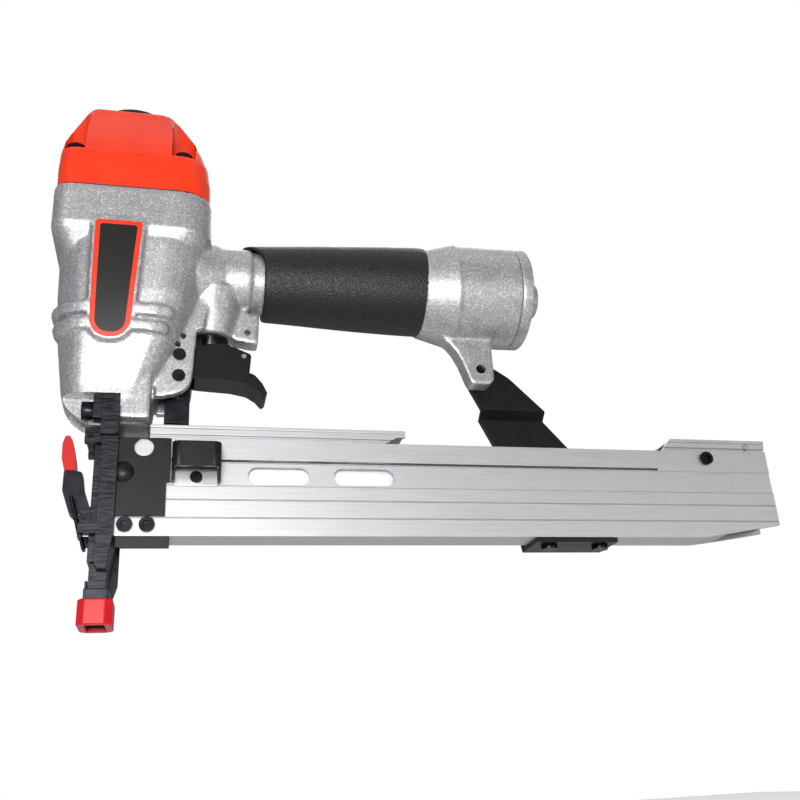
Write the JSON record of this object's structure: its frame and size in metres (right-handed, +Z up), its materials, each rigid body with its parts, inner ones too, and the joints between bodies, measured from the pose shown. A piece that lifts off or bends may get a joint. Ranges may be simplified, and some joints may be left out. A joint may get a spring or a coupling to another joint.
{
  "type": "nail gun",
  "caption": "Pneumatic nail gun with domed head, rubber grip, top-loading stick magazine, spring pusher, contact arm, latched nose door and threaded air inlet.",
  "frame": {"origin": "middle of the contact tip's working face, on the drive axis", "axes": "+Z up the drive axis to the head, +X from the nose towards the air inlet, +Y to the tool's far side (the pusher's thumb tab is on -Y)"},
  "size_m": [0.3681, 0.0656, 0.2617],
  "materials": {
    "cast_silver": "sparkling silver paint on die-cast aluminium",
    "end_silver": "silver paint",
    "cap_orange": "gloss orange-red paint",
    "deflector_black": "satin black",
    "gasket": "matt fibre",
    "screw_black": "black oxide",
    "badge_black": "gloss black",
    "badge_orange": "gloss orange",
    "grip_rubber": "pebbled black rubber",
    "inner_aluminium": "machined",
    "seal_rubber": "matt",
    "spring_steel": "plain wire",
    "blade_steel": "ground",
    "pin_steel": "bright",
    "nose_steel": "black oxide, machined",
    "trigger_black": "satin black",
    "arm_black": "black oxide",
    "latch_black": "black oxide",
    "latch_red": "red vinyl dip",
    "tip_red": "satin red",
    "extrusion": "satin anodised",
    "rail_silver": "zinc plated, satin",
    "rail_black": "black coated",
    "plate_black": "satin black",
    "pusher_silver": "zinc plated"
  },
  "bodies": {
    "frame": {"body_casting": "cast_silver", "badge_face": "badge_black", "badge_border": "badge_orange", "head_cap": "cap_orange", "cap_gasket": "gasket", "cap_screws": "screw_black", "deflector_screw": "screw_black", "head_valve_spring": "spring_steel", "cylinder_sleeve": "inner_aluminium", "bumper": "seal_rubber", "grip_sleeve": "grip_rubber", "rear_end_cap": "end_silver", "trigger_valve_body": "pin_steel", "valve_rings": "seal_rubber", "valve_retainer": "nose_steel", "stem_spring": "spring_steel", "ear_pins": "screw_black", "nose_guide": "nose_steel", "nose_clamps": "nose_steel", "nose_bolts": "screw_black", "door_pin": "latch_black", "arm_spring": "spring_steel", "magazine_body": "extrusion", "staple_rail": "rail_silver", "front_rail": "extrusion", "rear_rail": "extrusion", "rail_stop_pin": "pin_steel", "rear_block": "rail_black", "rear_screws": "screw_black", "side_plate_near": "plate_black", "side_plate_far": "plate_black", "magazine_screws": "screw_black", "wing_plate": "plate_black", "support_bracket": "plate_black", "bracket_screw": "screw_black", "foot_screws": "screw_black"},
    "deflector": {"exhaust_deflector": "deflector_black"},
    "head_valve": {"head_valve": "inner_aluminium", "head_valve_ring": "seal_rubber"},
    "driver": {"piston": "inner_aluminium", "piston_ring": "seal_rubber", "driver_blade": "blade_steel"},
    "trigger": {"trigger": "trigger_black", "lever_pin": "pin_steel"},
    "rocking_lever": {"trigger_lever": "trigger_black"},
    "valve_stem": {"valve_stem": "pin_steel"},
    "contact_arm": {"contact_arm_lower": "arm_black", "contact_arm_upper": "arm_black", "no_mar_tip": "tip_red"},
    "door": {"nose_door": "nose_steel", "latch_pin": "latch_black"},
    "latch": {"latch_lever": "latch_black", "latch_grip": "latch_red"},
    "bail": {"latch_bail": "latch_black"},
    "pusher": {"pusher_shoe": "pusher_silver", "pusher_spring": "spring_steel", "pusher_plate": "pusher_silver", "pusher_screw": "screw_black", "pusher_tab": "plate_black"}
  },
  "joints": [
    {"name": "deflector_turn", "type": "hinge", "parent": "frame", "child": "deflector", "pos_m": [0.004, 0, 0.2565], "axis": [0, 0, 1], "continuous": true},
    {"name": "head_valve_slide", "type": "slide", "parent": "frame", "child": "head_valve", "axis": [0, 0, 1], "range_m": [0, 0.004], "stiffness_N_per_m": 1000, "springref_m": -0.004, "deforming": ["head_valve_spring"]},
    {"name": "driver_slide", "type": "slide", "parent": "frame", "child": "driver", "axis": [0, 0, -1], "range_m": [0, 0.086]},
    {"name": "trigger_hinge", "type": "hinge", "parent": "frame", "child": "trigger", "pos_m": [0.031, 0, 0.1248], "axis": [0, -1, 0], "range_deg": [0, 9.5], "stiffness_Nm_per_rad": 0.4, "springref_deg": -6.88},
    {"name": "rocking_lever_hinge", "type": "hinge", "parent": "trigger", "child": "rocking_lever", "pos_m": [0.0616, 0, 0.1282], "axis": [0, -1, 0], "range_deg": [0, 3]},
    {"name": "valve_stem_slide", "type": "slide", "parent": "frame", "child": "valve_stem", "axis": [0, 0, 1], "range_m": [0, 0.0024], "deforming": ["stem_spring"]},
    {"name": "contact_arm_slide", "type": "slide", "parent": "frame", "child": "contact_arm", "axis": [0, 0, 1], "range_m": [0, 0.007], "stiffness_N_per_m": 900, "springref_m": -0.008, "deforming": ["arm_spring"]},
    {"name": "door_hinge", "type": "hinge", "parent": "frame", "child": "door", "pos_m": [-0.0065, 0, 0.084], "axis": [0, 1, 0], "range_deg": [0, 55]},
    {"name": "latch_hinge", "type": "hinge", "parent": "door", "child": "latch", "pos_m": [-0.0075, 0, 0.048], "axis": [0, -1, 0], "range_deg": [0, 70]},
    {"name": "bail_hinge", "type": "hinge", "parent": "latch", "child": "bail", "pos_m": [-0.013, 0, 0.056], "axis": [0, 1, 0], "range_deg": [0, 72]},
    {"name": "pusher_slide", "type": "slide", "parent": "frame", "child": "pusher", "axis": [1, 0, 0], "range_m": [0, 0.222], "stiffness_N_per_m": 15, "springref_m": -0.5}
  ],
  "couplings": [
    {"joint": "valve_stem_slide", "follows": "trigger_hinge", "m_per_rad": 0.0133},
    {"joint": "bail_hinge", "follows": "latch_hinge", "ratio": 1}
  ]
}
